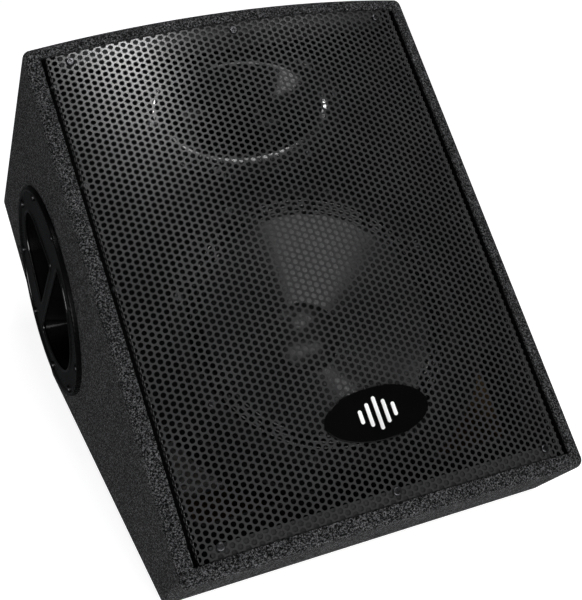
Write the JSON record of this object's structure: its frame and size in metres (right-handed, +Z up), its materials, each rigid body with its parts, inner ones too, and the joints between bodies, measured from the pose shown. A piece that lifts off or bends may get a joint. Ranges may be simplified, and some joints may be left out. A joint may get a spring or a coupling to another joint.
{
  "type": "pa speaker cabinet",
  "caption": "Floor-wedge loudspeaker cabinet with a bowed perforated grille, a cone woofer, a horn, corner ports and a round side plate with a grip pocket and sockets.",
  "frame": {"origin": "centre of the overall box at the level of the feet, with the wedge lying on its sloping base", "axes": "+Z up, -Y towards the listener, +X to the right as seen from the listener"},
  "size_m": [0.446, 0.675, 0.4573],
  "materials": {
    "plywood": "raw birch plywood",
    "painted_plywood": "plywood painted flat black",
    "batten_wood": "wood painted dark grey",
    "black_screws": "black zinc, satin",
    "zinc_screws": "zinc plated",
    "port_plastic": "black, fine texture",
    "carpet": "charcoal needle-punched carpet with pale flecks",
    "rubber": "moulded black rubber",
    "wadding": "polyester damping wadding",
    "grille_steel": "dark grey satin powder coat",
    "badge_plastic": "black, high gloss",
    "badge_white": "white",
    "basket_steel": "black stamped steel",
    "gasket_board": "black fibre ring",
    "surround_cloth": "doped black cloth",
    "cone_paper": "black treated paper, glossy",
    "cap_paper": "black treated paper, glossy",
    "coil_copper": "enamelled copper winding",
    "spider_cloth": "impregnated woven cloth",
    "motor_steel": "zinc-plated steel",
    "ferrite": "dark grey ferrite",
    "terminal_brass": "tinned brass",
    "horn_plastic": "black, glossy moulding",
    "diaphragm_metal": "thin foil",
    "suspension_film": "polyimide film",
    "clamp_plastic": "black",
    "cover_metal": "black anodised",
    "board": "green glass-fibre board",
    "capacitor_film": "yellow film",
    "resistor_ceramic": "white ceramic",
    "plate_plastic": "black, glossy moulding",
    "panel_metal": "black steel",
    "socket_plastic": "black",
    "jack_metal": "nickel plated"
  },
  "bodies": {
    "cabinet": {"side_panel_left": "plywood", "side_panel_right": "plywood", "top_panel": "plywood", "back_panel": "plywood", "base_panel": "plywood", "heel_panel": "plywood", "baffle": "painted_plywood", "baffle_cleats": "plywood", "baffle_screws": "black_screws", "port_duct_left": "port_plastic", "port_duct_right": "port_plastic", "carpet_cover": "carpet", "rubber_feet": "rubber", "foot_screws": "zinc_screws", "wadding_base": "wadding", "wadding_side": "wadding", "grille": "grille_steel", "grille_batten_top": "batten_wood", "grille_batten_bottom": "batten_wood", "grille_screws": "black_screws", "badge": "badge_plastic", "badge_mark": "badge_white", "woofer_basket": "basket_steel", "woofer_gasket": "gasket_board", "woofer_surround": "surround_cloth", "spider": "spider_cloth", "woofer_top_plate": "motor_steel", "woofer_magnet": "ferrite", "woofer_back_plate": "motor_steel", "woofer_terminals": "terminal_brass", "woofer_screws": "black_screws", "horn": "horn_plastic", "horn_screws": "black_screws", "hf_pole_piece": "motor_steel", "hf_magnet": "ferrite", "hf_top_plate": "motor_steel", "hf_suspension": "suspension_film", "hf_clamp_ring": "clamp_plastic", "hf_cover": "cover_metal", "hf_bolts": "zinc_screws", "crossover_board": "board", "crossover_standoffs": "clamp_plastic", "crossover_screws": "zinc_screws", "inductors": "coil_copper", "capacitors": "capacitor_film", "resistors": "resistor_ceramic", "side_plate": "plate_plastic", "grip_pocket": "plate_plastic", "connector_dish": "plate_plastic", "connector_dish_floor": "plate_plastic", "side_plate_screws": "black_screws", "connector_panel": "panel_metal", "speaker_sockets": "socket_plastic", "jack_sockets": "jack_metal", "jack_nuts": "jack_metal", "panel_screws": "black_screws"},
    "woofer_cone_assembly": {"woofer_cone": "cone_paper", "dust_cap": "cap_paper", "voice_coil": "coil_copper"},
    "hf_diaphragm": {"hf_diaphragm": "diaphragm_metal"}
  },
  "joints": [
    {"name": "woofer_excursion", "type": "slide", "parent": "cabinet", "child": "woofer_cone_assembly", "axis": [0, -0.6141, 0.7892], "range_m": [-0.005, 0.005], "stiffness_N_per_m": 3300, "deforming": ["woofer_surround", "spider"]},
    {"name": "hf_excursion", "type": "slide", "parent": "cabinet", "child": "hf_diaphragm", "axis": [0, -0.6141, 0.7892], "range_m": [-0.0003, 0.0003], "stiffness_N_per_m": 19000, "deforming": ["hf_suspension"]}
  ]
}
